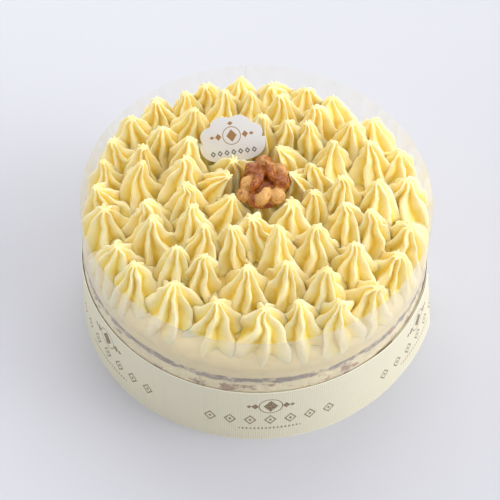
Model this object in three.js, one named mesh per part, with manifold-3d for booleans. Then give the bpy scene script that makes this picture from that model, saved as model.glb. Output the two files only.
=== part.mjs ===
// A round carrot cake: a low naked cake with a thin dark layer, a domed cream top set with
// rings of piped cream stars, half a walnut in the middle and a small scalloped card beside it.
// A clear film collar stands round the side, and a printed paper band goes round the film.
// Millimetres, +Z up. The origin is the centre of the base; the front is towards -Y.

import * as THREE from "three";
import { mergeVertices } from "three/addons/utils/BufferGeometryUtils.js";
import Module from "manifold-3d";

// Clearance between pieces that touch, and how round the round pieces are.
const GAP = 0.3;
const ROUND_STEPS = 44;
const STEP_ANGLE = (2 * Math.PI) / ROUND_STEPS;

// The cake, from the base up.
const CAKE_RADIUS = 99;
const CAKE_TOP = 55;
const DARK_THICKNESS = 4.4;
const CREAM_EDGE_TOP = 73;
const DOME_RISE = 16;
const DOME_POWER = 3;
const DOME_BANDS = 4;

// The film collar and the paper band round it.
const FILM_THICKNESS = 0.5;
const FILM_HEIGHT = 94;
const BAND_HEIGHT = 47;
const BAND_THICKNESS = 0.5;
// The band's start and how far its end laps over it, in degrees; the end lifts over the start
// within BAND_EASE, and its lower corner stands off by BAND_FLARE.
const BAND_START = -37.5;
const BAND_OVERLAP = 30;
const BAND_EASE = 22.5;
const BAND_FLARE = 4.8;

// A piped star: the nozzle's teeth and the widest radius.
const STAR_RIDGES = 7;
const STAR_RADIUS = 15.2;
// Levels of a star as [share of its height, share of its radius, depth of its grooves as a
// share of the radius there]; the tip closes it.
const STAR_LEVELS = [
  [0, 1.12, 0.3],
  [0.2, 0.93, 0.43],
  [0.75, 0.41, 0.42],
];
const STAR_LEAN = 2.2;
const STAR_INWARD = 1;
// Feet that run together pass their middle line by this much, where they face each other.
const FOOT_MERGE = 1.2;
const FOOT_MERGE_FACING = 0.93;

// The rings of stars: the height of the tips above the base, and for each tip the angle in
// degrees and the distance from the middle. They were piped by hand and stand unevenly.
const RINGS = [
  {
    name: "outer",
    tip: 101,
    angles: [
      8, 22, 40, 59, 71, 84, 98, 112, 122, 133, 146, 158, 170,
      181, 190, 209, 220, 237, 256, 274, 288, 302, 317, 333, 346,
    ],
    distances: [
      85, 87, 86, 80, 82, 82, 83, 82, 82, 86, 88, 89, 89,
      90, 86, 86, 84, 79, 78, 81, 81, 90, 93, 88, 88,
    ],
  },
  {
    name: "b",
    tip: 112,
    angles: [
      1, 25, 40, 59, 79, 95, 108, 128, 148, 162, 172, 197, 208, 229, 242, 267, 287, 303, 322, 343,
    ],
    distances: [
      67, 70, 68, 63, 62, 62, 65, 61, 65, 67, 66, 63, 65, 65, 60, 61, 60, 72, 68, 67,
    ],
  },
  {
    name: "c",
    tip: 116,
    angles: [0, 31, 55, 68, 88, 118, 147, 166, 192, 213, 232, 251, 290, 314, 341],
    distances: [48, 48, 48, 43, 41, 43, 46, 41, 39, 42, 46, 39, 40, 49, 52],
  },
  {
    name: "d",
    tip: 111,
    angles: [350, 16, 25, 68, 135, 171, 223, 269, 324],
    distances: [32, 19, 32, 26, 19, 15, 19, 26, 23],
  },
];
// Stars that lean against the walnut or under the card, with how far the tip overhangs.
const OVERHANGS = {
  star_d_02: new THREE.Vector2(-5, -6),
  star_d_03: new THREE.Vector2(-4.5, -1.5),
  star_d_04: new THREE.Vector2(-8, -3),
  star_d_05: new THREE.Vector2(0, -5.5),
  star_d_06: new THREE.Vector2(10, -5.5),
};
// No foot stands farther out than this; a tip that does leans outwards over it.
const FOOT_LIMIT = 86.5;
// A star with more room round it is larger: its size follows the mean distance to the stars
// nearest to it, within SIZE_SHARES of the usual size.
const NEAREST = 4;
const USUAL_SPACING = 20.5;
const SIZE_SHARES = [0.88, 1.12];
const JITTER_SIZE = 0.06;
const JITTER_HEIGHT = 1.3;
// Which property of a star a piece of unevenness belongs to, and how the unevenness is scrambled.
const UNEVEN = { leanAngle: 3, lean: 4, tip: 5, size: 6, turn: 7 };
const SCRAMBLE_PIECE = 12.9898;
const SCRAMBLE_PROPERTY = 78.233;
const SCRAMBLE_STRETCH = 43758.5453;
// Stars closer than this many star radii can touch each other.
const NEAR = 3;

// The half walnut and the squashed star it sits on.
const WALNUT_CENTRE = new THREE.Vector3(3.3, 0, 107.5);
const WALNUT_HALF = new THREE.Vector3(17.6, 15.4, 10);
const WALNUT_TURN = 80;
const WALNUT_COLUMNS = 18;
const WALNUT_ROWS = 8;
const WALNUT_LUMP = 0.07;
const WALNUT_LUMPS_AROUND = 4;
const WALNUT_LUMPS_DOWN = 3;
const WALNUT_LUMPS_START = 57;
const WALNUT_CLEFT = 0.16;
const WALNUT_CLEFT_WIDTH = 0.3;
const SEAT_TIP = 103;

// The card: a plaque with a scalloped top, leaning back on the stars behind it.
const CARD_CENTRE = new THREE.Vector3(-15.1, 31, 106.8);
const CARD_HALF_WIDTH = 18.7;
const CARD_UP = 14.8;
const CARD_DOWN = 12;
const CARD_THICKNESS = 0.6;
const CARD_LEAN = 45;
const CARD_TILT = 10;
const CARD_SCALLOPS = 4;
const CARD_SCALLOP_DEPTH = 0.12;
// How square the lower half of the card's outline is: 2 is an oval.
const CARD_SQUARENESS = 2.8;
const CARD_POINTS = 40;

const CREAM = { color: 0xf3e3a4, roughness: 0.45, metalness: 0 };
const SMOOTH_CREAM = { color: 0xf0e4c6, roughness: 0.5, metalness: 0 };
const CRUMB = { color: 0xd9bd92, roughness: 0.8, metalness: 0 };
const DARK = { color: 0x7d6a62, roughness: 0.7, metalness: 0 };
const FILM = { color: 0xf4f4f4, roughness: 0.05, metalness: 0, transparent: true, opacity: 0.25 };
const BAND = { color: 0xe9e7df, roughness: 0.5, metalness: 0 };
const CARD = { color: 0xf2efe9, roughness: 0.5, metalness: 0 };
const NUT = { color: 0xa9692f, roughness: 0.55, metalness: 0 };

const wasm = await Module();
wasm.setup();

const radians = THREE.MathUtils.degToRad;
const cake = new THREE.Group();

function add(name, geometry, finish) {
  const mesh = new THREE.Mesh(geometry, new THREE.MeshStandardMaterial(finish));
  mesh.name = name;
  cake.add(mesh);
}

// A fixed unevenness from -1 to 1 for one property of piece number i.
function uneven(i, property) {
  const wave = SCRAMBLE_STRETCH * Math.sin(i * SCRAMBLE_PIECE + property * SCRAMBLE_PROPERTY);
  return 2 * (wave - Math.floor(wave)) - 1;
}

// Solids for joining and cutting, and back to a three.js geometry.
function toSolid(geometry) {
  const bare = geometry.clone();
  bare.deleteAttribute("normal");
  bare.deleteAttribute("uv");
  const merged = mergeVertices(bare);
  const mesh = new wasm.Mesh({
    numProp: 3,
    vertProperties: new Float32Array(merged.attributes.position.array),
    triVerts: new Uint32Array(merged.index.array),
  });
  return new wasm.Manifold(mesh);
}

function toGeometry(solid) {
  const mesh = solid.getMesh();
  return indexed(Array.from(mesh.vertProperties), Array.from(mesh.triVerts));
}

function indexed(positions, triangles) {
  const geometry = new THREE.BufferGeometry();
  geometry.setAttribute("position", new THREE.Float32BufferAttribute(positions, 3));
  geometry.setIndex(triangles);
  geometry.computeVertexNormals();
  return geometry;
}

// The largest single body that is left of a solid after a cut.
function largestBody(solid) {
  const bodies = solid.decompose();
  return bodies.reduce((best, body) => (body.volume() > best.volume() ? body : best));
}

// A round body from a half profile of [radius, height] points that starts and ends on the axis.
function turned(profile) {
  const points = profile.map(([radius, height]) => new THREE.Vector2(radius, height));
  return new THREE.LatheGeometry(points, ROUND_STEPS).rotateX(Math.PI / 2);
}

function disc(radius, bottom, top) {
  return turned([[0, bottom], [radius, bottom], [radius, top], [0, top]]);
}

// Height of the cream's domed top at a distance from the middle.
function domeHeight(distance) {
  return CREAM_EDGE_TOP + DOME_RISE * (1 - (distance / CAKE_RADIUS) ** DOME_POWER);
}

function creamTop() {
  const bottom = CAKE_TOP + GAP + DARK_THICKNESS + GAP;
  const profile = [[0, bottom], [CAKE_RADIUS, bottom]];
  for (let band = DOME_BANDS; band >= 0; band -= 1) {
    const radius = (CAKE_RADIUS * band) / DOME_BANDS;
    profile.push([radius, domeHeight(radius)]);
  }
  return turned(profile);
}

// The clear collar: an upright film tube that is open at both ends.
function filmCollar() {
  const inner = CAKE_RADIUS + GAP;
  const outer = inner + FILM_THICKNESS;
  return turned([[inner, 0], [outer, 0], [outer, FILM_HEIGHT], [inner, FILM_HEIGHT], [inner, 0]]);
}

// The paper band is one strip that laps over its own start; its lower edge flares out at the end.
function paperBand() {
  const base = CAKE_RADIUS + GAP + FILM_THICKNESS + GAP;
  const lap = BAND_THICKNESS + GAP;
  const stepDegrees = 360 / ROUND_STEPS;
  const steps = Math.round((360 + BAND_OVERLAP) / stepDegrees);
  const outline = (atBottom) => {
    const inner = [];
    const outer = [];
    for (let i = 0; i <= steps; i += 1) {
      const turn = i * stepDegrees;
      const angle = BAND_START + turn;
      const pastStart = turn - 360;
      const lift = lap * Math.min(1, Math.max(0, 1 + pastStart / BAND_EASE));
      const flare = atBottom ? (BAND_FLARE * Math.max(0, pastStart)) / BAND_OVERLAP : 0;
      const radius = base + lift + flare;
      const direction = new THREE.Vector2(Math.cos(radians(angle)), Math.sin(radians(angle)));
      inner.push(direction.clone().multiplyScalar(radius));
      outer.push(direction.clone().multiplyScalar(radius + BAND_THICKNESS));
    }
    return [...outer, ...inner.reverse()];
  };
  return lofted(outline(true), outline(false), 0, BAND_HEIGHT);
}

// A closed wall between two flat outlines with the same number of points.
function lofted(lower, upper, bottom, top) {
  const count = lower.length;
  const positions = [];
  lower.forEach((point) => positions.push(point.x, point.y, bottom));
  upper.forEach((point) => positions.push(point.x, point.y, top));
  const triangles = [];
  for (let i = 0; i < count; i += 1) {
    const next = (i + 1) % count;
    triangles.push(i, next, count + next, i, count + next, count + i);
  }
  THREE.ShapeUtils.triangulateShape(lower, []).forEach(([a, b, c]) => triangles.push(a, c, b));
  THREE.ShapeUtils.triangulateShape(upper, []).forEach(([a, b, c]) => {
    triangles.push(count + a, count + b, count + c);
  });
  return indexed(positions, triangles);
}

// Every star's foot, tip, size, turn and overhang.
function layOutStars() {
  const stars = [];
  for (const ring of RINGS) {
    ring.angles.forEach((degrees, i) => {
      const own = (property) => uneven(stars.length, property);
      const name = `star_${ring.name}_${String(i + 1).padStart(2, "0")}`;
      const outward = new THREE.Vector2(Math.cos(radians(degrees)), Math.sin(radians(degrees)));
      const leanAngle = Math.PI * own(UNEVEN.leanAngle);
      const lean = new THREE.Vector2(Math.cos(leanAngle), Math.sin(leanAngle));
      lean.multiplyScalar(STAR_LEAN * Math.abs(own(UNEVEN.lean)));
      lean.addScaledVector(outward, -STAR_INWARD);
      const tipPlace = outward.multiplyScalar(ring.distances[i]);
      const foot = tipPlace.clone().sub(OVERHANGS[name] ?? lean).clampLength(0, FOOT_LIMIT);
      stars.push({
        ring: ring.name,
        name,
        foot,
        tip: ring.tip + JITTER_HEIGHT * own(UNEVEN.tip),
        size: STAR_RADIUS * (1 + JITTER_SIZE * own(UNEVEN.size)),
        turn: (Math.PI / STAR_RIDGES) * own(UNEVEN.turn),
        lean: tipPlace.sub(foot),
      });
    });
  }
  stars.push({
    ring: "seat",
    name: "star_seat",
    foot: new THREE.Vector2(WALNUT_CENTRE.x, WALNUT_CENTRE.y),
    tip: SEAT_TIP,
    size: STAR_RADIUS,
    turn: 0,
    lean: new THREE.Vector2(0, 0),
  });
  stars.forEach((star) => {
    star.size *= roominess(star, stars);
  });
  return stars;
}

// How much larger than usual a star is, by the mean distance to the stars nearest to it.
function roominess(star, stars) {
  const distances = stars.map((other) => other.foot.distanceTo(star.foot)).sort((a, b) => a - b);
  const nearest = distances.slice(1, NEAREST + 1);
  const mean = nearest.reduce((sum, distance) => sum + distance, 0) / NEAREST;
  return THREE.MathUtils.clamp(mean / USUAL_SPACING, ...SIZE_SHARES);
}

// The longest reach from a point inside a star, in one direction, before it meets the film or
// the middle line between it and a neighbour.
function roomFor(star, neighbours, from, direction) {
  const place = star.foot.clone().add(from);
  const wall = (CAKE_RADIUS - GAP) * Math.cos(STEP_ANGLE / 2);
  const along = place.dot(direction);
  let room = -along + Math.sqrt(along ** 2 - place.lengthSq() + wall ** 2);
  for (const other of neighbours) {
    const towards = other.foot.clone().sub(star.foot);
    const half = towards.length() / 2 - GAP / 2;
    towards.normalize();
    const facing = towards.dot(direction);
    if (facing > 0) {
      room = Math.min(room, (half - towards.dot(from)) / facing);
    }
  }
  return room;
}

// How far a foot spreads in one direction to run into the star beside it, or 0.
function spreadTo(star, mates, direction) {
  for (const mate of mates) {
    const towards = mate.foot.clone().sub(star.foot);
    const half = towards.length() / 2 + FOOT_MERGE;
    const facing = towards.normalize().dot(direction);
    if (facing > FOOT_MERGE_FACING) {
      return half / facing;
    }
  }
  return 0;
}

// One star: ridged rings that follow the dome at the foot and close in a leaning tip. It keeps
// clear of its neighbours, and its foot runs into those of its mates.
function pipedStar(star, neighbours, mates) {
  const points = 2 * STAR_RIDGES;
  const footHeight = (x, y) => domeHeight(Math.hypot(x, y)) + GAP;
  const positions = [];
  const push = (x, y, z) => positions.push(x, y, z);
  for (const [rise, width, depth] of STAR_LEVELS) {
    const offset = star.lean.clone().multiplyScalar(rise ** 2);
    for (let i = 0; i < points; i += 1) {
      const angle = star.turn + (Math.PI * i) / STAR_RIDGES;
      const direction = new THREE.Vector2(Math.cos(angle), Math.sin(angle));
      const groove = i % 2 === 0 ? 1 : 1 - depth;
      const spread = rise === 0 ? spreadTo(star, mates, direction) : 0;
      const wanted = Math.max(star.size * width * groove, spread);
      const reach = Math.min(wanted, roomFor(star, neighbours, offset, direction));
      const x = star.foot.x + offset.x + reach * direction.x;
      const y = star.foot.y + offset.y + reach * direction.y;
      const floor = footHeight(x, y);
      push(x, y, floor + rise * (star.tip - floor));
    }
  }
  const base = positions.length / 3;
  push(star.foot.x, star.foot.y, footHeight(star.foot.x, star.foot.y));
  push(star.foot.x + star.lean.x, star.foot.y + star.lean.y, star.tip);
  const triangles = [];
  const last = (STAR_LEVELS.length - 1) * points;
  for (let i = 0; i < points; i += 1) {
    const next = (i + 1) % points;
    triangles.push(base, next, i);
    triangles.push(base + 1, last + i, last + next);
    for (let level = 0; level < last; level += points) {
      const above = level + points;
      triangles.push(level + i, level + next, above + next);
      triangles.push(level + i, above + next, above + i);
    }
  }
  return indexed(positions, triangles);
}

// Half a walnut kernel: a flattened body with lumps and a cleft between its two lobes.
function walnut(grow) {
  const positions = [];
  const place = (column, row) => {
    const around = (2 * Math.PI * column) / WALNUT_COLUMNS;
    const down = (Math.PI * row) / WALNUT_ROWS;
    const unit = new THREE.Vector3().setFromSphericalCoords(1, down, around);
    const axis = new THREE.Vector3(unit.z, unit.x, unit.y);
    const lumpsAround = Math.sin(WALNUT_LUMPS_AROUND * around + radians(WALNUT_LUMPS_START));
    const lumpsDown = Math.sin(WALNUT_LUMPS_DOWN * down) * Math.sin(down);
    const lump = WALNUT_LUMP * lumpsAround * lumpsDown;
    const nearCleft = Math.exp(-((axis.y / WALNUT_CLEFT_WIDTH) ** 2));
    const cleft = WALNUT_CLEFT * nearCleft * Math.max(0, axis.z);
    return axis.multiplyScalar(1 + lump - cleft).multiply(WALNUT_HALF);
  };
  positions.push(...place(0, 0).toArray());
  for (let row = 1; row < WALNUT_ROWS; row += 1) {
    for (let column = 0; column < WALNUT_COLUMNS; column += 1) {
      positions.push(...place(column, row).toArray());
    }
  }
  positions.push(...place(0, WALNUT_ROWS).toArray());
  const bottom = positions.length / 3 - 1;
  const triangles = [];
  for (let column = 0; column < WALNUT_COLUMNS; column += 1) {
    const next = (column + 1) % WALNUT_COLUMNS;
    triangles.push(0, 1 + column, 1 + next);
    for (let row = 0; row < WALNUT_ROWS - 2; row += 1) {
      const upper = 1 + row * WALNUT_COLUMNS;
      const lower = upper + WALNUT_COLUMNS;
      triangles.push(upper + column, lower + column, lower + next);
      triangles.push(upper + column, lower + next, upper + next);
    }
    const final = 1 + (WALNUT_ROWS - 2) * WALNUT_COLUMNS;
    triangles.push(bottom, final + next, final + column);
  }
  const geometry = indexed(positions, triangles);
  const { x: long, y: wide, z: high } = WALNUT_HALF;
  geometry.scale(1 + grow / long, 1 + grow / wide, 1 + grow / high);
  geometry.rotateZ(radians(WALNUT_TURN));
  return geometry.translate(WALNUT_CENTRE.x, WALNUT_CENTRE.y, WALNUT_CENTRE.z);
}

// The card's outline: scallops round the upper half, and a flatter lower edge.
function cardOutline(grow) {
  const points = [];
  for (let i = 0; i < CARD_POINTS; i += 1) {
    const angle = (2 * Math.PI * i) / CARD_POINTS;
    const across = Math.cos(angle);
    const up = Math.sin(angle);
    const scallop = 1 - CARD_SCALLOP_DEPTH * (1 - Math.abs(Math.sin(CARD_SCALLOPS * angle)));
    const power = CARD_SQUARENESS;
    const squared = (Math.abs(across) ** power + Math.abs(up) ** power) ** (-1 / power);
    const reach = up > 0 ? scallop : squared;
    const halfHeight = up > 0 ? CARD_UP : CARD_DOWN;
    points.push(new THREE.Vector2(
      (CARD_HALF_WIDTH + grow) * across * reach,
      (halfHeight + grow) * up * reach,
    ));
  }
  return new THREE.Shape(points);
}

function card(grow) {
  const depth = CARD_THICKNESS + 2 * grow;
  const geometry = new THREE.ExtrudeGeometry(cardOutline(grow), { depth, bevelEnabled: false });
  geometry.translate(0, 0, -depth / 2);
  geometry.rotateZ(radians(CARD_TILT));
  geometry.rotateX(radians(90 - CARD_LEAN));
  return geometry.translate(CARD_CENTRE.x, CARD_CENTRE.y, CARD_CENTRE.z);
}

// The stars: the outer ring's feet run into each other and are one piece, the rest are single.
// The walnut and the card press into the stars that they rest on.
function addStars() {
  const stars = layOutStars();
  const pressed = toSolid(walnut(GAP)).add(toSolid(card(GAP)));
  const isNear = (one, other) => one.foot.distanceTo(other.foot) < NEAR * STAR_RADIUS;
  let outer = null;
  for (const star of stars) {
    const around = stars.filter((other) => other !== star && isNear(star, other));
    const isMate = (other) => star.ring === "outer" && other.ring === "outer";
    const neighbours = around.filter((other) => !isMate(other));
    const mates = around.filter(isMate);
    const solid = toSolid(pipedStar(star, neighbours, mates));
    if (star.ring === "outer") {
      outer = outer ? outer.add(solid) : solid;
    } else {
      add(star.name, toGeometry(largestBody(solid.subtract(pressed))), CREAM);
    }
  }
  add("star_ring_outer", toGeometry(outer), CREAM);
}

add("cake_body", disc(CAKE_RADIUS, 0, CAKE_TOP), CRUMB);
add("dark_layer", disc(CAKE_RADIUS, CAKE_TOP + GAP, CAKE_TOP + GAP + DARK_THICKNESS), DARK);
add("cream_top", creamTop(), SMOOTH_CREAM);
add("film_collar", filmCollar(), FILM);
add("paper_band", paperBand(), BAND);
add("walnut_half", walnut(0), NUT);
add("topper_card", card(0), CARD);
addStars();

export default cake;
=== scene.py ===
import math

import bmesh
import bpy
import numpy as np
from mathutils import Matrix, Vector, noise


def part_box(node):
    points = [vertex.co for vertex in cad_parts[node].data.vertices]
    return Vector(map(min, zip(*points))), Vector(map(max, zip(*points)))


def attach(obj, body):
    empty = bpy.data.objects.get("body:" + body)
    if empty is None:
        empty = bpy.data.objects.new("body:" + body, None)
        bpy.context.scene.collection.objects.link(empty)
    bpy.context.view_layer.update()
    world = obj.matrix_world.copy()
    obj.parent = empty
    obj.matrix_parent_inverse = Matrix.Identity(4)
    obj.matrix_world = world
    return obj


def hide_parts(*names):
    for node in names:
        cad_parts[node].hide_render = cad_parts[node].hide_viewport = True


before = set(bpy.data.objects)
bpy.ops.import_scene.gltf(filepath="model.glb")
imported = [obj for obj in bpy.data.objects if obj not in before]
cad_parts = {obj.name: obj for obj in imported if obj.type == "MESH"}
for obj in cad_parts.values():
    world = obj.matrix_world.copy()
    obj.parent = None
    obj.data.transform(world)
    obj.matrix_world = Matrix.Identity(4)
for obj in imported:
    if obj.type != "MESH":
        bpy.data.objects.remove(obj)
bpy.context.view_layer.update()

# A round carrot cake in a clear film collar and a paper band, set with rings of piped cream
# stars, half a walnut and a small card. Metres; the base's centre is the origin, the front -Y.

MM = 0.001

# Blender's noise changes from run to run unless it is given a seed.
SEED = 3
noise.seed_set(SEED)

# ---- Sizes, from the frame where a node gives them -----------------------------------------

CAKE_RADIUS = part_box("cake_body")[1].x
CAKE_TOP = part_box("cake_body")[1].z
DARK_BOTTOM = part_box("dark_layer")[0].z
DARK_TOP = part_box("dark_layer")[1].z
CREAM_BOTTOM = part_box("cream_top")[0].z
CREAM_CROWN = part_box("cream_top")[1].z
FILM_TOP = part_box("film_collar")[1].z
BAND_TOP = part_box("paper_band")[1].z
# Points round a layer of the cake.
ROUND = 192

# The cake's top and both faces of the dark line reach this far into their neighbours.
LAYER_LAP = 0.3 * MM
# The cream's domed top would meet its side at CREAM_EDGE, but for the round SHOULDER.
CREAM_EDGE = 73 * MM
DOME_POWER = 3
SHOULDER = 6 * MM

# The film: one sheet whose end laps over its start.
FILM_RADIUS = CAKE_RADIUS + 0.2 * MM
FILM_THICKNESS = 0.16 * MM
FILM_START = math.radians(95)
FILM_OVERLAP = math.radians(0.7)
FILM_LAP = 0.22 * MM

# The paper band: it laps over its start too, and its loose lower corner stands off.
BAND_RADIUS = CAKE_RADIUS + 0.7 * MM
BAND_THICKNESS = 0.35 * MM
BAND_START = math.radians(-37.5)
BAND_OVERLAP = math.radians(30)
BAND_LAP = 0.8 * MM
BAND_FLARE = 4.8 * MM
LAP_EASE = math.radians(14)
RIB_PITCH = 1.25 * MM

# The band's print repeats by MOTIF_PITCH, from just right of the front's middle. Below each
# motif are a row of diamonds and a row of dots; each row ends at its reach from the middle.
PRINT_START = (math.radians(-83) - BAND_START) % (2 * math.pi) * BAND_RADIUS
MOTIF_PITCH = 108 * MM
LINK_PITCH, LINK_REACH = 11.4 * MM, 38 * MM
DOT_PITCH, DOT_REACH = 2.2 * MM, 17.6 * MM
# The card's row of hollow diamonds.
BEAD_PITCH, BEAD_REACH = 3.9 * MM, 13.7 * MM

# Stars: the ridges of each, and in millimetres a usual star's size, how far it may lean any way
# and how far it leans towards the middle.
RIDGES = 7
STAR_RADIUS = 14.8
STAR_LEAN = 2.2
STAR_INWARD = 1
# Outside TOE_START the ridges' toes sag over the cream's edge by up to TOE_DROOP.
TOE_START = 88 * MM
TOE_DROOP = 4 * MM
# How deep a groove is at each point from a ridge's crest to the groove's middle.
GROOVE = (0.30, 0.66, 0.90, 1.0)
# The ridges are rounder at the foot: there a groove's depth is raised to this power.
CREST_ROUNDNESS = 1.8
# Rows of a star as (share of its height, share of its radius, depth of its grooves).
STAR_ROWS = (
    (0.00, 1.30, 0.42),
    (0.04, 1.27, 0.46),
    (0.11, 1.17, 0.50),
    (0.21, 1.02, 0.51),
    (0.32, 0.88, 0.51),
    (0.46, 0.72, 0.50),
    (0.61, 0.56, 0.50),
    (0.75, 0.42, 0.48),
    (0.86, 0.31, 0.45),
    (0.925, 0.245, 0.43),
    (0.962, 0.20, 0.40),
    (0.985, 0.14, 0.32),
)
# The rings, in millimetres and degrees: the height of the tips above the base, and each tip's
# angle and distance from the middle. They were piped by hand and stand unevenly.
RINGS = (
    dict(name="outer", tip=101,
         angles=(8, 22, 40, 59, 71, 84, 98, 112, 122, 133, 146, 158, 170,
                 181, 190, 209, 220, 237, 256, 274, 288, 302, 317, 333, 346),
         distances=(85, 87, 86, 80, 82, 82, 83, 82, 82, 86, 88, 89, 89,
                    90, 86, 86, 84, 79, 78, 81, 81, 90, 93, 88, 88)),
    dict(name="b", tip=112,
         angles=(1, 25, 40, 59, 79, 95, 108, 128, 148, 162,
                 172, 197, 208, 229, 242, 267, 287, 303, 322, 343),
         distances=(67, 70, 68, 63, 62, 62, 65, 61, 65, 67,
                    66, 63, 65, 65, 60, 61, 60, 72, 68, 67)),
    dict(name="c", tip=116,
         angles=(0, 31, 55, 68, 88, 118, 147, 166, 192, 213, 232, 251, 290, 314, 341),
         distances=(48, 48, 48, 43, 41, 43, 46, 41, 39, 42, 46, 39, 40, 49, 52)),
    dict(name="d", tip=111,
         angles=(350, 16, 25, 68, 135, 171, 223, 269, 324),
         distances=(32, 19, 32, 26, 19, 15, 19, 26, 23)),
)
# Stars that lean against the walnut or under the card, with how far the tip overhangs.
OVERHANGS = {
    "star_d_02": (-5, -6), "star_d_03": (-4.5, -1.5), "star_d_04": (-8, -3),
    "star_d_05": (0, -5.5), "star_d_06": (10, -5.5),
}
# No foot stands farther out than this, in millimetres; a tip that does leans outwards over it.
FOOT_LIMIT = 86.5
# A star with more room round it is larger: its size follows the mean distance to the stars
# nearest to it, within SIZE_SHARES of the usual size.
NEAREST = 4
USUAL_SPACING = 20.5 * MM
SIZE_SHARES = (0.88, 1.12)
JITTER_SIZE = 0.06
JITTER_HEIGHT = 1.3
# Which of a star's properties a piece of unevenness belongs to.
LEAN_ANGLE, LEAN, TIP, SIZE, TURN, TWIST, NIB, NIB_ANGLE, BLUNT = range(3, 12)
SWELL, SPREAD, FATNESS, SWAY, DROOP = (12, 14, 17, 18, 19)
# How far ridges crowd to one side, in one wave round the star and in two, how far they stand
# out by the number of waves, and how fat, twisted and bent at the nib a star can be.
MOST_SPREAD = (0.14, 0.07)
MOST_SWELL = {1: 0.06, 3: 0.05}
MOST_FATNESS = 0.07
MOST_TWIST = 0.3
MOST_NIB = 2 * MM
# Stars whose tips broke off, with the share of the height that is left.
BROKEN = {"star_outer_06": 0.84, "star_d_09": 0.86}
# How far round the ridges sway on their way up, in radians, and the stars that are larger than
# others and twice as wavy.
USUAL_WAVE = 0.17
WAVY = {"star_d_08": 1.3, "star_c_11": 1.1}
# A star gives way softly this far past the line where it meets another, and this far before
# the film. Its foot is sunk into the cream below it.
STAR_OVERLAP, STAR_SOFTNESS = 3.8 * MM, 2 * MM
FILM_GAP, FILM_SOFTNESS = 0.3 * MM, 0.8 * MM
SUNK = 0.6 * MM
# No piped cream reaches farther out, or deeper into the cream below it, sagging toes apart.
CREAM_LIMIT = CAKE_RADIUS - 0.05 * MM
DEEPEST = 1 * MM
# The folds of the piped cream as (size, depth) in millimetres.
CREAM_FOLDS = ((9, 1.7), (4, 0.6), (1.6, 0.12))

# The half walnut.
WALNUT_CENTRE = Vector((3.3, 0, 107.5)) * MM
WALNUT_HALF = Vector((17.6, 15.4, 10)) * MM
WALNUT_TURN = math.radians(80)
WALNUT_VOXEL = 0.45 * MM
# Its folds, which noise bends by WARP, and its fine wrinkles.
FOLD_SIZE, FOLD_DEPTH = 5.2 * MM, 0.65 * MM
WARP_SIZE, WARP = 7 * MM, 2.2 * MM
WRINKLE_SIZE, WRINKLE_DEPTH = 1.8 * MM, 0.2 * MM
# The star of cream that it sits on, in millimetres.
SEAT_TIP = 110
SEAT_RADIUS = 18

# The card: how far it reaches from its centre, how square its lower half is, how it leans back
# and turns, and its scallops.
CARD_CENTRE = Vector((-15.1, 31, 106.8)) * MM
CARD_HALF_WIDTH = 18.7 * MM
CARD_UP = 14.8 * MM
CARD_DOWN = 12 * MM
CARD_SQUARENESS = 2.8
CARD_THICKNESS = 0.6 * MM
CARD_LEAN = math.radians(45)
CARD_TILT = math.radians(10)
CARD_SCALLOPS = 4
CARD_SCALLOP_DEPTH = 0.12

# The camera: where it aims, how steeply it looks down, its roll and distance, and its lens.
CAMERA_AIM = Vector((0, 0, 45 * MM))
CAMERA_DOWN = math.radians(53.19)
CAMERA_ROLL = math.radians(2.13)
CAMERA_DISTANCE = 1.4777
CAMERA_LENS = 184.25
SENSOR_WIDTH = 36
CAMERA_SHIFT = (-0.0098, 0.0020)

# Wide soft lamps as (name, place, power, width in degrees): most of the light comes from the
# right and from above and behind; the two low ones light the sides.
LAMPS = (
    ("key", (1, 0.1, 0.58), 0.78, 50),
    ("right front", (0.93, -0.38, 0.6), 0.76, 45),
    ("back", (0, 1, 0.7), 1.14, 60),
    ("top", (0, 0.15, 1), 1.05, 90),
    ("left", (-1, -0.15, 0.22), 0.72, 50),
    ("low right", (1, -0.12, 0.08), 1.2, 40),
)
WORLD_LIGHT = 0.43
FLOOR_SIZE = 6


# ---- Modelling helpers ---------------------------------------------------------------------

def deselect():
    """Leaves edit mode, and selects nothing."""
    if bpy.context.object and bpy.context.object.mode != "OBJECT":
        bpy.ops.object.mode_set(mode="OBJECT")
    bpy.ops.object.select_all(action="DESELECT")


def work_on(piece):
    """Selects one piece alone and makes it the active one."""
    deselect()
    piece.select_set(True)
    bpy.context.view_layer.objects.active = piece


def pick(piece, test):
    """In edit mode, selects the vertices whose place passes a test, and what they span."""
    mesh = bmesh.from_edit_mesh(piece.data)
    for vertex in mesh.verts:
        vertex.select = bool(test(vertex.co))
    mesh.select_flush(True)
    mesh.select_flush(False)
    bmesh.update_edit_mesh(piece.data)


def points(piece):
    """A piece's vertices as rows of x, y, z."""
    rows = np.empty(len(piece.data.vertices) * 3)
    piece.data.vertices.foreach_get("co", rows)
    return rows.reshape(-1, 3)


def put_points(piece, rows):
    """Moves a piece's vertices to rows of x, y, z."""
    piece.data.vertices.foreach_set("co", np.ascontiguousarray(rows).ravel())
    piece.data.update()


def apply_modifier(piece, kind, **settings):
    """Adds a modifier with these settings, and applies it."""
    work_on(piece)
    modifier = piece.modifiers.new(kind.title(), kind)
    for name, value in settings.items():
        setattr(modifier, name, value)
    bpy.ops.object.modifier_apply(modifier=modifier.name)


def settle_place(piece):
    """Moves a piece's place, turn and scale into its mesh."""
    work_on(piece)
    bpy.ops.object.transform_apply(location=True, rotation=True, scale=True)


def smooth(piece, degrees):
    """Shades a piece smooth where its faces meet at less than this angle."""
    work_on(piece)
    bpy.ops.object.shade_smooth_by_angle(angle=math.radians(degrees))


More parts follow.
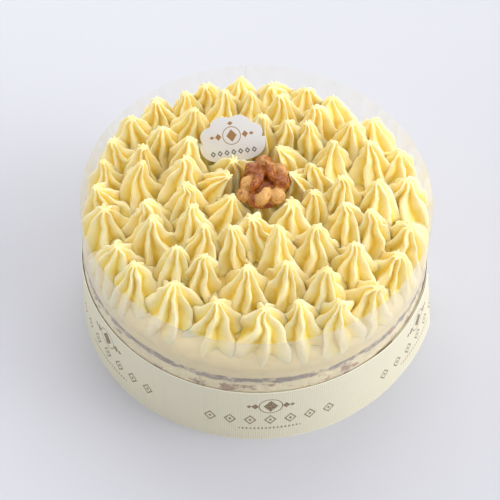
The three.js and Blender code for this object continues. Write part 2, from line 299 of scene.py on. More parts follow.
def outward(piece):
    """Merges doubled points and turns every face outwards."""
    work_on(piece)
    bpy.ops.object.mode_set(mode="EDIT")
    bpy.ops.mesh.select_all(action="SELECT")
    bpy.ops.mesh.remove_doubles(threshold=1e-6)
    bpy.ops.mesh.normals_make_consistent(inside=False)
    bpy.ops.object.mode_set(mode="OBJECT")


def turned(name, profile, steps=ROUND):
    """A round body raised ring by ring from a circle through (radius, height) rows; a row of
    radius 0 closes the top, and one face closes the bottom."""
    deselect()
    radius, height = profile[0]
    bpy.ops.mesh.primitive_circle_add(vertices=steps, radius=radius, fill_type="NGON",
                                      location=(0, 0, height))
    piece = bpy.context.object
    piece.name = name
    settle_place(piece)
    bpy.ops.object.mode_set(mode="EDIT")
    bpy.ops.mesh.select_all(action="SELECT")
    bpy.ops.mesh.extrude_region_move()
    for row, (wide, high) in enumerate(profile[1:]):
        if row:
            bpy.ops.mesh.extrude_region_move()
        bpy.ops.transform.translate(value=(0, 0, high - height))
        if wide == 0:
            bpy.ops.mesh.merge(type="CENTER")
            break
        bpy.ops.transform.resize(value=(wide / radius, wide / radius, 1))
        radius, height = wide, high
    bpy.ops.object.mode_set(mode="OBJECT")
    outward(piece)
    return piece


def uneven(number, what):
    """A fixed unevenness from -1 to 1 for one property of a numbered piece."""
    wave = math.sin(number * 12.9898 + what * 78.233) * 43758.5453
    return 2 * (wave - math.floor(wave)) - 1


def soft_over(over, softness):
    """How far a point gives way when it is over a limit: nothing well inside, all outside."""
    return softness * np.logaddexp(0, over / softness)


def from_axis(rows):
    """How far points are from the cake's axis."""
    return np.hypot(rows[:, 0], rows[:, 1])


def relief(rows, size, depth, seed):
    """Moves rows of points by gentle noise with lumps of a size, different for each seed."""
    shift = Vector((seed, seed * 0.7, seed * 1.3))
    for row in rows:
        row += depth * np.array(noise.noise_vector(Vector(row) / size + shift))
    return rows


# ---- Materials -----------------------------------------------------------------------------

def shade(red, green, blue):
    """A colour from 0-255 screen values, as Blender's linear colour."""
    def linear(value):
        value /= 255
        return value / 12.92 if value <= 0.04045 else ((value + 0.055) / 1.055) ** 2.4
    return (linear(red), linear(green), linear(blue), 1)


class Reading:
    """A value that varies over a surface. Arithmetic on it adds Math nodes to its finish."""

    def __init__(self, finish, socket):
        self.finish = finish
        self.socket = socket

    def math(self, operation, *values):
        return self.finish.node("ShaderNodeMath", dict(operation=operation),
                                dict(enumerate(values)))

    def __add__(self, other):
        return self.math("ADD", self, other)

    __radd__ = __add__

    def __sub__(self, other):
        return self.math("SUBTRACT", self, other)

    def __rsub__(self, other):
        return self.math("SUBTRACT", other, self)

    def __mul__(self, other):
        return self.math("MULTIPLY", self, other)

    __rmul__ = __mul__

    def __truediv__(self, other):
        return self.math("DIVIDE", self, other)

    def size(self):
        return self.math("ABSOLUTE", self)

    def root(self):
        return self.math("SQRT", self)

    def rest(self, step):
        """What is left over after whole steps, centred on 0."""
        return self.math("WRAP", self, step / 2, -step / 2)

    def most(self, other):
        return self.math("MAXIMUM", self, other)

    def ramp(self, low, high):
        """0 below low and 1 above high, or the other way round if low is the higher."""
        return self.finish.node(
            "ShaderNodeMapRange", dict(interpolation_type="SMOOTHSTEP"),
            {"Value": self, "From Min": low, "From Max": high})


class Finish:
    """A material, and the nodes that are added to it."""

    def __init__(self, name):
        self.material = bpy.data.materials.new(name)
        self.material.use_nodes = True
        self.tree = self.material.node_tree
        self.tree.nodes.clear()
        self.output = self.tree.nodes.new("ShaderNodeOutputMaterial")
        self.place = self.node("ShaderNodeTexCoord", output="Object")

    def node(self, kind, settings=None, inputs=None, output=0):
        """Adds any node with its settings and the values or links of its inputs."""
        node = self.tree.nodes.new(kind)
        for name, value in (settings or {}).items():
            setattr(node, name, value)
        for name, value in (inputs or {}).items():
            if isinstance(value, Reading):
                self.tree.links.new(value.socket, node.inputs[name])
            else:
                node.inputs[name].default_value = value
        return Reading(self, node.outputs[output])

    def axes(self, vector):
        split = self.node("ShaderNodeSeparateXYZ", inputs={"Vector": vector})
        return [Reading(self, socket) for socket in split.socket.node.outputs]

    def noise(self, size, detail=2, roughness=0.5, distortion=0, vector=None):
        return self.node("ShaderNodeTexNoise", inputs={
            "Vector": vector or self.place, "Scale": 1 / size, "Detail": detail,
            "Roughness": roughness, "Distortion": distortion})

    def stretched(self, x, y, z):
        """The place on the piece with its axes scaled, for a pattern drawn out along one."""
        return self.node("ShaderNodeVectorMath", dict(operation="MULTIPLY"),
                         {0: self.place, 1: (x, y, z)})

    def blend(self, factor, first, second):
        """first where factor is 0 and second where it is 1, for colours."""
        return self.node("ShaderNodeMix", dict(data_type="RGBA"),
                         {0: factor, 6: first, 7: second}, output=2)

    def bump(self, height, depth, strength=1):
        return self.node("ShaderNodeBump", inputs={
            "Height": height, "Distance": depth, "Strength": strength})

    def principled(self, **inputs):
        named = {name.replace("_", " "): value for name, value in inputs.items()}
        return self.node("ShaderNodeBsdfPrincipled", inputs=named)

    def show(self, shader):
        self.tree.links.new(shader.socket, self.output.inputs["Surface"])
        return self.material


def piped_cream():
    """Butter cream: pale along the ridges' crests and at the tips, which is a painted highlight,
    and deeper yellow in the grooves, which is painted shade.
    """
    finish = Finish("piped butter cream")
    patches = finish.noise(22 * MM, detail=3).ramp(0.35, 0.68)
    crest = finish.node("ShaderNodeAttribute", dict(attribute_name="crest"), output="Fac")
    flank = finish.blend(patches, shade(249, 231, 149), shade(247, 227, 139))
    ridge = finish.blend(patches, shade(250, 237, 198), shade(249, 233, 186))
    grain = finish.noise(0.9 * MM, detail=3, roughness=0.6)
    streak = finish.noise(3.2 * MM, detail=2)
    # Painted shade: deep yellow where the crest mask is low, in the grooves' middles.
    colour = finish.blend(crest.ramp(0.0, 0.4), shade(252, 219, 102), flank)
    # Painted highlight: the pale ridge colour along the crests and at the tips.
    colour = finish.blend((crest + 0.4 * (streak - 0.5)).ramp(0.25, 0.85), colour, ridge)
    return finish.show(finish.principled(
        Base_Color=colour, Roughness=0.42 + 0.12 * streak,
        Normal=finish.bump(grain + 1.5 * streak, 0.12 * MM),
        Subsurface_Weight=0.7, Subsurface_Radius=(1.0, 0.8, 0.5),
        Subsurface_Scale=2.6 * MM, Specular_IOR_Level=0.25))


def smooth_cream():
    finish = Finish("smooth cream")
    smears = finish.noise(1, detail=3, vector=finish.stretched(90, 90, 260))
    colour = finish.blend(smears.ramp(0.35, 0.7), shade(241, 224, 168), shade(233, 214, 156))
    x, y, _ = finish.axes(finish.place)
    under_stars = (x * x + y * y).ramp((92 * MM) ** 2, (84 * MM) ** 2)
    colour = finish.blend(under_stars, colour, shade(238, 214, 138))
    return finish.show(finish.principled(
        Base_Color=colour, Roughness=0.45,
        Normal=finish.bump(smears, 0.5 * MM, 0.6),
        Subsurface_Weight=0.2, Subsurface_Radius=(1.0, 0.75, 0.4),
        Subsurface_Scale=2 * MM, Specular_IOR_Level=0.4))


def smeared_crumb(name, is_dark_layer):
    """Cake side seen through thin smeared cream, and for the dark layer a blotchy dark band round
    its middle.
    """
    finish = Finish(name)
    z = finish.axes(finish.place)[2]
    crumb_noise = finish.noise(1, detail=5, roughness=0.62,
                               vector=finish.stretched(85, 85, 150))
    fine = finish.noise(1.3 * MM, detail=4, roughness=0.7)
    cream = finish.blend(finish.noise(12 * MM, detail=2).ramp(0.35, 0.7),
                         shade(246, 234, 192), shade(237, 221, 176))
    crumb = finish.blend(fine.ramp(0.38, 0.62), shade(134, 80, 40), shade(208, 152, 98))
    near_band = z.ramp(BAND_TOP + 5 * MM, BAND_TOP)
    bare = (crumb_noise + 0.03 * fine + 0.03 * near_band).ramp(0.57, 0.64)
    colour = finish.blend(bare, cream, crumb)
    if is_dark_layer:
        edge = finish.noise(1, detail=4, roughness=0.6, vector=finish.stretched(70, 70, 70))
        middle = (DARK_BOTTOM + DARK_TOP) / 2 + 2.4 * MM * (finish.noise(26 * MM) - 0.5)
        away = (z - middle).size() / (0.5 * (DARK_TOP - DARK_BOTTOM))
        blotches = finish.noise(5 * MM, detail=3)
        dark = (5.5 * edge + 4 * blotches - 3.3 - away).ramp(-0.3, 1.1)
        dark = dark * (0.55 + 0.4 * blotches.ramp(0.35, 0.6))
        dark_colour = finish.blend(fine.ramp(0.35, 0.65), shade(84, 60, 56),
                                   shade(126, 98, 90))
        colour = finish.blend(dark, colour, dark_colour)
    return finish.show(finish.principled(
        Base_Color=colour, Roughness=0.55 + 0.25 * bare,
        Normal=finish.bump(fine * bare * 2 + crumb_noise, 0.6 * MM, 0.7),
        Subsurface_Weight=0.1, Subsurface_Radius=(1.0, 0.7, 0.4),
        Subsurface_Scale=1.5 * MM))


def clear_film():
    finish = Finish("clear film")
    clear = finish.node("ShaderNodeBsdfTransparent", inputs={"Color": (0.99, 0.99, 0.99, 1)})
    haze = finish.node("ShaderNodeBsdfDiffuse", inputs={"Color": (0.9, 0.85, 0.74, 1)})
    gloss = finish.node("ShaderNodeBsdfGlossy", inputs={
        "Color": (1, 1, 1, 1), "Roughness": 0.08})
    slant = finish.node("ShaderNodeLayerWeight", inputs={"Blend": 0.5}, output="Facing")
    cloudy = finish.noise(1, detail=3, vector=finish.stretched(30, 30, 60))
    y = finish.axes(finish.place)[1]
    fogged = y.ramp(70 * MM, -70 * MM)
    veil = finish.node("ShaderNodeMixShader", inputs={
        0: 0.01 + fogged * (0.1 + 0.08 * cloudy), 1: clear, 2: haze})
    shine = 0.02 + 0.32 * slant * slant * slant
    return finish.show(finish.node("ShaderNodeMixShader", inputs={0: shine, 1: veil, 2: gloss}))


def inked(u, v, marks):
    """Where ink lies, 0 to 1, for a list of marks."""
    ink = marks[0](u, v)
    for mark in marks[1:]:
        ink = ink.most(mark(u, v))
    return ink


def diamond(centre_u, centre_v, half_width, half_height):
    """A diamond-shaped mark, in millimetres, with slightly soft edges."""
    def mark(u, v):
        reach = ((u - centre_u * MM).size() / (half_width * MM)
                 + (v - centre_v * MM).size() / (half_height * MM))
        return reach.ramp(1.08, 0.92)
    return mark


def hollow(outer, inner):
    """A mark with a smaller mark cut out of it."""
    return lambda u, v: outer(u, v) - inner(u, v)


def ring(centre_u, centre_v, radius, line):
    """A thin ring-shaped mark, in millimetres."""
    def mark(u, v):
        du, dv = u - centre_u * MM, v - centre_v * MM
        reach = (du * du + dv * dv).root()
        return (reach - radius * MM).size().ramp(line * 0.65 * MM, line * 0.35 * MM)
    return mark


def band_paper():
    finish = Finish("ribbed ivory paper")
    u, v, _ = finish.axes(finish.node("ShaderNodeTexCoord", output="UV"))
    ribs = (u.rest(RIB_PITCH) / RIB_PITCH).size() * 2
    # The paper's warm tint is partly its own ivory and partly painted warm light, bounced up from
    # below.
    paper = finish.blend(ribs, shade(232, 227, 203), shade(223, 217, 191))
    edge = (v - BAND_TOP / 2).size().ramp(BAND_TOP / 2 - 0.9 * MM, BAND_TOP / 2 - 0.6 * MM)
    paper = finish.blend(edge, paper, shade(247, 242, 222))
    side = (u - PRINT_START).rest(MOTIF_PITCH).size()
    motif = inked(side, v, [
        diamond(0, 33.5, 4.2, 5.4),
        ring(0, 33.5, 6.6, 0.6),
        diamond(8.8, 33.5, 2.2, 2.6),
        diamond(12.2, 33.5, 1.5, 1.5),
    ])
    links = inked(side.rest(LINK_PITCH), v, [
        hollow(diamond(0, 20, 3.6, 4.6), diamond(0, 20, 2.5, 3.3)),
        diamond(0, 20, 1.0, 1.3),
    ])
    links = links * side.ramp(LINK_REACH + MM, LINK_REACH)
    dots = diamond(0, 11.5, 0.8, 1.3)(side.rest(DOT_PITCH), v)
    dots = dots * side.ramp(DOT_REACH + 0.1 * MM, DOT_REACH)
    ink = motif.most(links).most(dots * 0.8)
    worn = finish.noise(1.2 * MM, detail=3).ramp(0.3, 0.55) * 0.35 + 0.65
    colour = finish.blend(ink * worn, paper, shade(134, 112, 78))
    return finish.show(finish.principled(
        Base_Color=colour, Roughness=0.5 - 0.12 * ink, Metallic=0.25 * ink,
        Normal=finish.bump(ribs, 0.16 * MM, 0.8)))


def card_paper():
    finish = Finish("white card")
    u, v, _ = finish.axes(finish.node("ShaderNodeTexCoord", output="UV"))
    side = u.size()
    gold = inked(side, v, [
        diamond(0, 3, 3.0, 3.6),
        ring(0, 3, 5.0, 0.45),
        diamond(7.6, 3, 1.8, 2.0),
        diamond(11.2, 3, 1.4, 1.0),
        diamond(0, 10, 1.6, 1.2),
    ])
    bead = hollow(diamond(0, -6.4, 1.5, 1.7), diamond(0, -6.4, 0.7, 0.8))
    grey = bead(side.rest(BEAD_PITCH), v) * side.ramp(BEAD_REACH + 0.1 * MM, BEAD_REACH)
    fibre = finish.noise(0.7 * MM, detail=2)
    paper = finish.blend(fibre, shade(224, 222, 221), shade(217, 216, 217))
    colour = finish.blend(gold, paper, shade(158, 118, 70))
    colour = finish.blend(grey, colour, shade(96, 92, 96))
    return finish.show(finish.principled(
        Base_Color=colour, Roughness=0.42, Normal=finish.bump(fibre, 0.03 * MM)))


def walnut_skin():
    """Brown wrinkled skin, with pale flesh where it is broken, and a painted highlight along the
    raised folds.
    """
    finish = Finish("walnut kernel")
    veins = finish.noise(3.4 * MM, detail=4, roughness=0.6, distortion=1.5)
    fine = finish.noise(0.8 * MM, detail=3, roughness=0.6)
    skin = finish.blend(veins.ramp(0.35, 0.62), shade(128, 58, 12), shade(178, 102, 32))
    flesh = finish.blend(fine.ramp(0.3, 0.7), shade(200, 140, 68), shade(228, 184, 114))
    pale = finish.node("ShaderNodeAttribute", dict(attribute_name="pale"), output="Fac")
    # Pale flesh where the skin is broken, and the same pale colour as a painted highlight on the
    # raised folds.
    flesh_and_highlight = (pale + (veins - 0.5) * 0.7).ramp(0.1, 0.7)
    colour = finish.blend(flesh_and_highlight, skin, flesh)
    return finish.show(finish.principled(
        Base_Color=colour, Roughness=0.36 + 0.2 * flesh_and_highlight,
        Normal=finish.bump(fine + veins * 2, 0.4 * MM, 0.35),
        Subsurface_Weight=0.12, Subsurface_Radius=(1.0, 0.5, 0.25),
        Subsurface_Scale=1.2 * MM, Coat_Weight=0.1, Coat_Roughness=0.2))


def studio_floor():
    finish = Finish("studio floor")
    x, y, _ = finish.axes(finish.place)
    # Painted light: the floor is paler and bluer towards the far left, as though more light falls
    # there.
    painted_light_far_left = (y - 0.6 * x).ramp(-0.5, 0.7)
    colour = finish.blend(painted_light_far_left, shade(195, 195, 203), shade(212, 214, 222))
    return finish.show(finish.principled(Base_Color=colour, Roughness=0.75))


# ---- The layers of the cake ----------------------------------------------------------------

def rows_between(low, high, count):
    """Evenly spaced values above low, up to and with high."""
    return [low + (high - low) * i / count for i in range(1, count + 1)]


def dome(distance):
    """Height of the cream under the stars at a distance from the middle, and down its round
    shoulder."""
    rise = 1 - (distance / CAKE_RADIUS) ** DOME_POWER
    height = CREAM_EDGE + (CREAM_CROWN - CREAM_EDGE) * rise
    past = np.clip(distance - CAKE_RADIUS + SHOULDER, 0, SHOULDER)
    return height - SHOULDER + np.sqrt(SHOULDER ** 2 - past ** 2)


def dent_side(piece, depth, size, low=-1.0, fade=3 * MM):
    """Presses a piece's side inwards by noise, less and less within fade above the height
    low."""
    rows = points(piece)
    for row in rows:
        radius = math.hypot(row[0], row[1])
        if radius > 0.9 * CAKE_RADIUS and row[2] > low:
            spot = Vector((row[0], row[1], row[2] * 1.6)) / size
            dent = depth * max(0, noise.fractal(spot, 0.6, 2, 3) + 0.25)
            dent *= min(1, (row[2] - low) / fade)
            row[:2] *= 1 - dent / radius
    put_points(piece, rows)


def cake_side():
    """The cake, with few rows of points where the band hides it."""
    hidden = BAND_TOP - 3 * MM
    top = CAKE_TOP + LAYER_LAP
    heights = [0] + rows_between(0, hidden, count=3) + rows_between(hidden, top, count=16)
    piece = turned("cake", [(CAKE_RADIUS, high) for high in heights] + [(0, top)], 2 * ROUND)
    dent_side(piece, depth=1.3 * MM, size=4.5 * MM, low=BAND_TOP - MM)
    return piece


def dark_line():
    bottom, top = DARK_BOTTOM - LAYER_LAP, DARK_TOP + LAYER_LAP
    heights = [bottom] + rows_between(bottom, top, count=8)
    piece = turned("dark_line", [(CAKE_RADIUS, high) for high in heights] + [(0, top)], 2 * ROUND)
    dent_side(piece, depth=1.0 * MM, size=4 * MM)
    return piece


def cream_layer():
    heights = [CREAM_BOTTOM] + rows_between(CREAM_BOTTOM, dome(CAKE_RADIUS), count=5)
    side = [(CAKE_RADIUS, high) for high in heights]
    turns = rows_between(0, math.pi / 2, count=8)
    radii = [CAKE_RADIUS - SHOULDER * (1 - math.cos(turn)) for turn in turns]
    radii += rows_between(radii[-1], 0, count=13)[:-1]
    top = [(radius, dome(radius)) for radius in radii]
    piece = turned("cream_layer", side + top + [(0, CREAM_CROWN)], ROUND)
    dent_side(piece, depth=0.35 * MM, size=16 * MM)
    return piece


# ---- The film and the band -----------------------------------------------------------------

def flat_strip(name, length, height, thickness, along, up):
    """A sheet lying flat, standing in the XZ plane, with its UV map in metres."""
    deselect()
    bpy.ops.mesh.primitive_grid_add(x_subdivisions=along, y_subdivisions=up, size=1,
                                    location=(length / 2, 0, height / 2),
                                    rotation=(math.pi / 2, 0, 0))
    piece = bpy.context.object
    piece.name = name
    piece.scale = (length, height, 1)
    settle_place(piece)
    mesh = piece.data
    layer = mesh.uv_layers.active or mesh.uv_layers.new(name="UVMap")
    for loop in mesh.loops:
        x, _, z = mesh.vertices[loop.vertex_index].co
        layer.data[loop.index].uv = (x, z)
    apply_modifier(piece, "SOLIDIFY", thickness=thickness, offset=0)
    apply_modifier(piece, "BEVEL", width=thickness * 0.3, segments=1, limit_method="ANGLE")
    return piece


def wrap_round(piece, radius, start, lap, flare=0):
    """Wraps a standing strip round the cake. Near a full turn it rises by lap to lie on its own
    start, and past that its lower edge stands off more and more, by flare at the end."""
    rows = points(piece)
    turn = rows[:, 0] / radius
    past = turn - 2 * math.pi
    lift = lap * np.clip(1 + past / LAP_EASE, 0, 1)
    share = np.clip(past / BAND_OVERLAP, 0, 1)
    low = np.clip(1 - rows[:, 2] / BAND_TOP, 0, 1)
    reach = radius + lift - rows[:, 1] + flare * share ** 1.3 * low
    angle = start + turn
    rows = np.stack([reach * np.cos(angle), reach * np.sin(angle), rows[:, 2]], 1)
    put_points(piece, rows)
    smooth(piece, 40)
    return piece


def film_collar():
    length = (2 * math.pi + FILM_OVERLAP) * FILM_RADIUS
    piece = flat_strip("film", length, FILM_TOP, FILM_THICKNESS, along=260, up=6)
    return wrap_round(piece, FILM_RADIUS, FILM_START, FILM_LAP)


def paper_band():
    length = (2 * math.pi + BAND_OVERLAP) * BAND_RADIUS
    piece = flat_strip("band", length, BAND_TOP, BAND_THICKNESS, along=260, up=10)
    return wrap_round(piece, BAND_RADIUS, BAND_START, BAND_LAP, BAND_FLARE)


# ---- The stars -----------------------------------------------------------------------------

def model_star():
    """One star as it leaves the nozzle: one unit wide from its middle and one unit high."""
    profile = [(wide, rise) for rise, wide, _ in STAR_ROWS]
    piece = turned("star", profile + [(0, 1)], 2 * RIDGES * len(GROOVE))
    work_on(piece)
    bpy.ops.object.mode_set(mode="EDIT")

    def phase(place):
        """0 on a ridge, 1 in the middle of a groove; a circle's first point is on +Y."""
        ridge = math.atan2(place.x, place.y) * RIDGES / (2 * math.pi)
        return 2 * abs(ridge - round(ridge))

    for rise, wide, depth in STAR_ROWS:
        for step, share in enumerate(GROOVE, 1):
            where = step / len(GROOVE)
            pick(piece, lambda p: abs(p.z - rise) < 1e-3 and abs(phase(p) - where) < 0.1)
            narrower = 1 - depth * share ** max(1, CREST_ROUNDNESS - rise)
            bpy.ops.transform.resize(value=(narrower, narrower, 1))
    bpy.ops.object.mode_set(mode="OBJECT")
    apply_modifier(piece, "SUBSURF", levels=1, render_levels=1)
    # The attribute "crest" is 1 on the ridges' crests and near the tip. It places the cream's
    # painted highlight, and where it is low, its painted shade.
    crest = [max(1 - phase(vertex.co), (vertex.co.z - 0.93) * 8)
             for vertex in piece.data.vertices]
    layer = piece.data.attributes.new("crest", "FLOAT", "POINT")
    layer.data.foreach_set("value", crest)
    return piece


def facing(angle):
    """The flat direction at an angle."""
    return np.array([math.cos(angle), math.sin(angle)])


def lay_out_stars():
    """Every star's foot, tip, size, turn and overhang."""
    stars = []
    for circle in RINGS:
        for i, (degrees, distance) in enumerate(zip(circle["angles"], circle["distances"])):
            number = len(stars)
            name = f"star_{circle['name']}_{i + 1:02d}"
            outwards = facing(math.radians(degrees))
            leaning = facing(math.pi * uneven(number, LEAN_ANGLE))
            lean = STAR_LEAN * abs(uneven(number, LEAN)) * leaning - STAR_INWARD * outwards
            foot = distance * outwards - np.array(OVERHANGS.get(name, lean))
            foot *= min(1, FOOT_LIMIT / np.hypot(*foot))
            stars.append(dict(
                ring=circle["name"], number=number, name=name, foot=foot * MM,
                tip=(circle["tip"] + JITTER_HEIGHT * uneven(number, TIP)) * MM,
                size=STAR_RADIUS * (1 + JITTER_SIZE * uneven(number, SIZE)) * MM,
                turn=math.pi / RIDGES * uneven(number, TURN),
                lean=(distance * outwards - foot) * MM, wave=USUAL_WAVE,
                left=BROKEN.get(name, 1)))
    stars.append(dict(ring="seat", number=len(stars), name="star_seat",
                      foot=np.array(WALNUT_CENTRE[:2]), tip=SEAT_TIP * MM,
                      size=SEAT_RADIUS * MM, turn=0, lean=np.zeros(2), wave=0, left=1))
    for star in stars:
        apart = sorted(np.hypot(*(other["foot"] - star["foot"])) for other in stars)
        room = np.mean(apart[1:NEAREST + 1]) / USUAL_SPACING
        star["size"] *= np.clip(room, *SIZE_SHARES)
        if star["name"] in WAVY:
            star["size"] *= WAVY[star["name"]]
            star["wave"] *= 2
    return stars


def under_card(rows, room=1.2 * MM, squareness=2.4):
    """Presses points down under the card, by room round it, where they would come through."""
    x, y = rows[:, 0] - CARD_CENTRE.x, rows[:, 1] - CARD_CENTRE.y
    up = y / math.cos(CARD_LEAN)
    across = x * math.cos(CARD_TILT) + up * math.sin(CARD_TILT)
    upwards = up * math.cos(CARD_TILT) - x * math.sin(CARD_TILT)
    tall = np.where(upwards > 0, CARD_UP, CARD_DOWN)
    inside = ((np.abs(across) / (CARD_HALF_WIDTH + room)) ** squareness
              + (np.abs(upwards) / (tall + room)) ** squareness) < 1
    ceiling = CARD_CENTRE.z + y * math.tan(CARD_LEAN) - room
    rows[:, 2] = np.where(inside, np.minimum(rows[:, 2], ceiling), rows[:, 2])


def under_walnut(rows, bite=MM, outline=0.92):
    """Presses points down under the walnut where they would come through it by more than a
    bite, within an outline a little smaller than its own."""
    x, y = rows[:, 0] - WALNUT_CENTRE.x, rows[:, 1] - WALNUT_CENTRE.y
    cosine, sine = math.cos(WALNUT_TURN), math.sin(WALNUT_TURN)
    along = (x * cosine + y * sine) / WALNUT_HALF.x
    across = (y * cosine - x * sine) / WALNUT_HALF.y
    inside = 1 - (along ** 2 + across ** 2) / outline
    ceiling = WALNUT_CENTRE.z - WALNUT_HALF.z * np.sqrt(np.clip(inside, 0, 1)) + bite
    rows[:, 2] = np.where(inside > 0, np.minimum(rows[:, 2], ceiling), rows[:, 2])


def seen_from_above(rows, star):
    """Where a star's points lie seen from above: turned, leaning and a little uneven."""
    def own(what):
        return uneven(star["number"], what)

    rise = np.clip(rows[:, 2], 0, 1)
    around = np.arctan2(rows[:, 1], rows[:, 0])
    for waves, most in enumerate(MOST_SPREAD, 1):
        around = around + most * np.sin(waves * around + math.pi * own(SPREAD + waves - 1))
    swell = 1 + MOST_FATNESS * own(FATNESS) * np.sin(math.pi * rise)
    for i, (waves, most) in enumerate(MOST_SWELL.items()):
        swell += most * np.cos(waves * around - math.pi * own(SWELL + i))
    reach = np.hypot(rows[:, 0], rows[:, 1]) * star["size"] * swell
    sway = star["wave"] * np.sin(5 * rise + math.pi * own(SWAY)) * (1 - rise)
    around = around + star["turn"] + MOST_TWIST * own(TWIST) * rise + sway
    bend = MOST_NIB * abs(own(NIB)) * np.clip((rise - 0.8) / 0.2, 0, 1) ** 2
    nib = facing(math.pi * own(NIB_ANGLE))
    middle = star["foot"] + np.outer(rise ** 2, star["lean"]) + np.outer(bend, nib)
    return middle + reach[:, None] * np.stack([np.cos(around), np.sin(around)], 1)


def give_way(flat, star, others):
    """Holds points seen from above back where they meet another star or the film."""
    for other in others:
        towards = other["foot"] - star["foot"]
        apart = np.hypot(*towards)
        if apart < 3 * STAR_RADIUS * MM:
            towards = towards / apart
            share = star["size"] / (star["size"] + other["size"])
            over = (flat - star["foot"]) @ towards - share * apart - STAR_OVERLAP
            flat = flat - np.outer(soft_over(over, STAR_SOFTNESS), towards)
    over = soft_over(from_axis(flat) - CAKE_RADIUS + FILM_GAP, FILM_SOFTNESS)
    return flat * (1 - over / from_axis(flat))[:, None]


def settle_star(piece, star, others):
    """Lays a star's points out on the cake, pressed flat where it meets its neighbours, the
    film, the walnut and the card."""
    rows = points(piece)
    rise = np.clip(rows[:, 2], 0, 1)
    ridge = np.cos(RIDGES * (math.pi / 2 - np.arctan2(rows[:, 1], rows[:, 0])))
    flat = give_way(seen_from_above(rows, star), star, others)
    out = from_axis(flat)
    droop = TOE_DROOP * np.clip((out - TOE_START) / (CAKE_RADIUS - TOE_START), 0, 1) ** 2
    droop *= np.clip(0.5 + 1.3 * ridge, 0, 1) * (0.8 + 0.25 * uneven(star["number"], DROOP))
    floor = dome(out) - SUNK - droop
    top = star["left"] * (0.985 + 0.015 * uneven(star["number"], BLUNT))
    over_top = soft_over(rise - top, 0.012) if top < 1 else 0
    rows = np.column_stack([flat, floor + (rise - over_top) * (star["tip"] - floor)])
    for size, depth in CREAM_FOLDS:
        rows = relief(rows, size * MM, depth * MM, star["number"])
    if star["ring"] in ("c", "d", "seat"):
        under_card(rows)
        under_walnut(rows)
    out = from_axis(rows)
    rows[:, :2] *= np.minimum(1, CREAM_LIMIT / out)[:, None]
    rows[:, 2] = np.maximum(rows[:, 2], dome(out) - DEEPEST - droop)
    put_points(piece, rows)


def copy_of(piece, name):
    """A copy of a piece, with a mesh of its own."""
    made = piece.copy()
    made.data = piece.data.copy()
    made.name = name
    bpy.context.scene.collection.objects.link(made)
    return made


# ---- The walnut ----------------------------------------------------------------------------

# Lobes as (place from the middle, half sizes, turn, how pale and broken the lobe is), in
# millimetres and degrees.
WALNUT_LOBES = (
    ((-0.5, 0.8, -4), (13, 14.6, 6), 0, 0.0),
    ((0.3, 12, 3), (5.8, 4.6, 5.2), 0, 0.3),
    ((-6, 7.5, 1.5), (5, 6, 5.2), 25, 0.0),
    ((9, 7.5, 2), (4.8, 5, 5.2), 15, 0.4),
    ((10, 0, 2), (4.4, 5.6, 5.6), 0, 0.1),
    ((-3.2, -0.5, 4), (3, 8.5, 5), -24, 0.0),
    ((3.4, 4.5, 4.6), (2.6, 5.5, 4.2), 18, 0.0),
    ((-9, -1.5, 1.8), (3.5, 4.8, 4.6), -18, 0.75),
    ((-10.5, -7.5, -1), (4, 4.4, 4.2), 0, 0.45),
    ((-4.5, -10, -1), (4, 5, 4.2), 0, 0.0),
    ((0.8, -10.5, 2.6), (3.4, 6, 4.6), -30, 0.85),
    ((8, -9, 1), (4.6, 4.8, 4.6), 0, 0.6),
)


def walnut():
    """The half walnut: lobes run into one and folded by noise. Its attribute "pale" says how
    broken the skin is, and adds a painted highlight along the raised folds."""
    deselect()
    lobes = []
    for place, half, turn, _ in WALNUT_LOBES:
        bpy.ops.mesh.primitive_uv_sphere_add(
            segments=32, ring_count=16, radius=MM, scale=half,
            location=WALNUT_CENTRE + Vector(place) * MM, rotation=(0, 0, math.radians(turn)))
        lobes.append(bpy.context.object)
    for lobe in lobes:
        lobe.select_set(True)
    bpy.context.view_layer.objects.active = lobes[0]
    bpy.ops.object.join()
    piece = bpy.context.object
    piece.name = "walnut"
    settle_place(piece)
    apply_modifier(piece, "REMESH", mode="VOXEL", voxel_size=WALNUT_VOXEL)
    apply_modifier(piece, "SMOOTH", iterations=2, factor=0.5)
    rows = points(piece)
    normals = np.array([vertex.normal for vertex in piece.data.vertices])
    pale = []
    for row, normal in zip(rows, normals):
        spot = Vector(row)
        warp = noise.noise_vector(spot / WARP_SIZE) * WARP
        folds = 1 - 2 * abs(noise.noise((spot + warp) / FOLD_SIZE))
        wrinkle = noise.fractal(spot / WRINKLE_SIZE, 0.7, 2, 3)
        row += normal * (FOLD_DEPTH * (folds - 0.6) + WRINKLE_DEPTH * wrinkle)
        near = 0.0
        for place, half, turn, paleness in WALNUT_LOBES:
            away = (spot - WALNUT_CENTRE - Vector(place) * MM) / MM
            away.rotate(Matrix.Rotation(-math.radians(turn), 3, "Z"))
            reach = Vector((away.x / half[0], away.y / half[1], away.z / half[2])).length
            near = max(near, paleness * min(1, max(0, (1.5 - reach) * 2)))
        # The raised folds are made paler: a painted highlight.
        pale.append(near + 0.35 * (folds - 0.55))
    put_points(piece, rows)
    layer = piece.data.attributes.new("pale", "FLOAT", "POINT")
    layer.data.foreach_set("value", pale)
    smooth(piece, 60)
    return piece


# ---- The card ------------------------------------------------------------------------------

def card_edge(angle):
    """The card's outline at an angle: scallops on the upper half, and a flatter lower edge."""
    across, up = math.cos(angle), math.sin(angle)
    if up > 0:
        reach = 1 - CARD_SCALLOP_DEPTH * (1 - abs(math.sin(CARD_SCALLOPS * angle)))
        return across * reach * CARD_HALF_WIDTH, up * reach * CARD_UP
    power = CARD_SQUARENESS
    reach = (abs(across) ** power + abs(up) ** power) ** (-1 / power)
    return across * reach * CARD_HALF_WIDTH, up * reach * CARD_DOWN


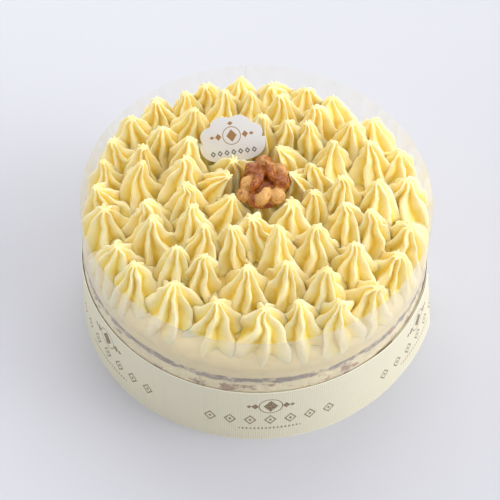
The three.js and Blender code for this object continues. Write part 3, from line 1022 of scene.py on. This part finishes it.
def card():
    """The card: a circle drawn out to its outline, thickened and leant back on the stars."""
    deselect()
    bpy.ops.mesh.primitive_circle_add(vertices=160, radius=1, fill_type="NGON")
    piece = bpy.context.object
    piece.name = "card"
    rows = points(piece)
    for row in rows:
        row[:2] = card_edge(math.atan2(row[1], row[0]))
    put_points(piece, rows)
    mesh = piece.data
    layer = mesh.uv_layers.active or mesh.uv_layers.new(name="UVMap")
    for loop in mesh.loops:
        layer.data[loop.index].uv = mesh.vertices[loop.vertex_index].co[:2]
    apply_modifier(piece, "SOLIDIFY", thickness=CARD_THICKNESS, offset=0)
    apply_modifier(piece, "BEVEL", width=0.1 * MM, segments=2, limit_method="ANGLE")
    place = (Matrix.Translation(CARD_CENTRE)
             @ Matrix.Rotation(math.pi / 2 - CARD_LEAN, 4, "X")
             @ Matrix.Rotation(CARD_TILT, 4, "Z"))
    piece.matrix_world = place
    settle_place(piece)
    smooth(piece, 40)
    return piece


# ---- Putting it together -------------------------------------------------------------------

def dress(piece, material, slot, *nodes):
    """Gives a piece its material and ties it to its body and its nodes. The slot is not used."""
    piece.data.materials.clear()
    piece.data.materials.append(material)
    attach(piece, "root")
    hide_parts(*nodes)


def add_stars():
    """Copies one pattern to every star. Those of the outer ring, whose feet run together, are
    joined."""
    cream = piped_cream()
    pattern = model_star()
    stars = lay_out_stars()
    outer = []
    for star in stars:
        others = [other for other in stars if other is not star]
        piece = copy_of(pattern, "piped_" + star["name"])
        settle_star(piece, star, others)
        if star["ring"] == "outer":
            outer.append(piece)
        else:
            smooth(piece, 180)
            dress(piece, cream, "piped_cream", star["name"])
    deselect()
    for piece in outer:
        piece.select_set(True)
    bpy.context.view_layer.objects.active = outer[0]
    bpy.ops.object.join()
    outer[0].name = "piped_outer_ring"
    smooth(outer[0], 180)
    dress(outer[0], cream, "piped_cream", "star_ring_outer")
    bpy.data.objects.remove(pattern)


def add_studio():
    """The floor, the even light from all round and the lamps."""
    deselect()
    bpy.ops.mesh.primitive_plane_add(size=FLOOR_SIZE)
    floor = bpy.context.object
    floor.name = "floor"
    floor.data.materials.append(studio_floor())
    world = bpy.data.worlds.new("studio")
    world.use_nodes = True
    background = world.node_tree.nodes["Background"]
    background.inputs["Color"].default_value = (1, 1, 1, 1)
    background.inputs["Strength"].default_value = WORLD_LIGHT
    bpy.context.scene.world = world
    for name, place, power, width in LAMPS:
        bpy.ops.object.light_add(type="SUN", location=place)
        lamp = bpy.context.object
        lamp.name = name
        lamp.data.energy = power
        lamp.data.angle = math.radians(width)
        lamp.rotation_euler = Vector(place).to_track_quat("Z", "Y").to_euler()


def add_camera():
    view = Vector((0, math.cos(CAMERA_DOWN), -math.sin(CAMERA_DOWN)))
    turn = (Matrix.Rotation(math.pi / 2 - CAMERA_DOWN, 4, "X")
            @ Matrix.Rotation(CAMERA_ROLL, 4, "Z"))
    bpy.ops.object.camera_add(location=CAMERA_AIM - view * CAMERA_DISTANCE,
                              rotation=turn.to_euler())
    camera = bpy.context.object
    camera.data.sensor_width = SENSOR_WIDTH
    camera.data.lens = CAMERA_LENS
    camera.data.shift_x, camera.data.shift_y = CAMERA_SHIFT
    bpy.context.scene.camera = camera


dress(cake_side(), smeared_crumb("smeared cake", False), "cake_crumb", "cake_body")
dress(dark_line(), smeared_crumb("dark layer", True), "dark_layer", "dark_layer")
dress(cream_layer(), smooth_cream(), "smooth_cream", "cream_top")
dress(film_collar(), clear_film(), "clear_film", "film_collar")
dress(paper_band(), band_paper(), "band_paper", "paper_band")
dress(walnut(), walnut_skin(), "walnut", "walnut_half")
dress(card(), card_paper(), "card_paper", "topper_card")
add_stars()
add_studio()
add_camera()
bpy.context.scene.view_settings.view_transform = "Standard"
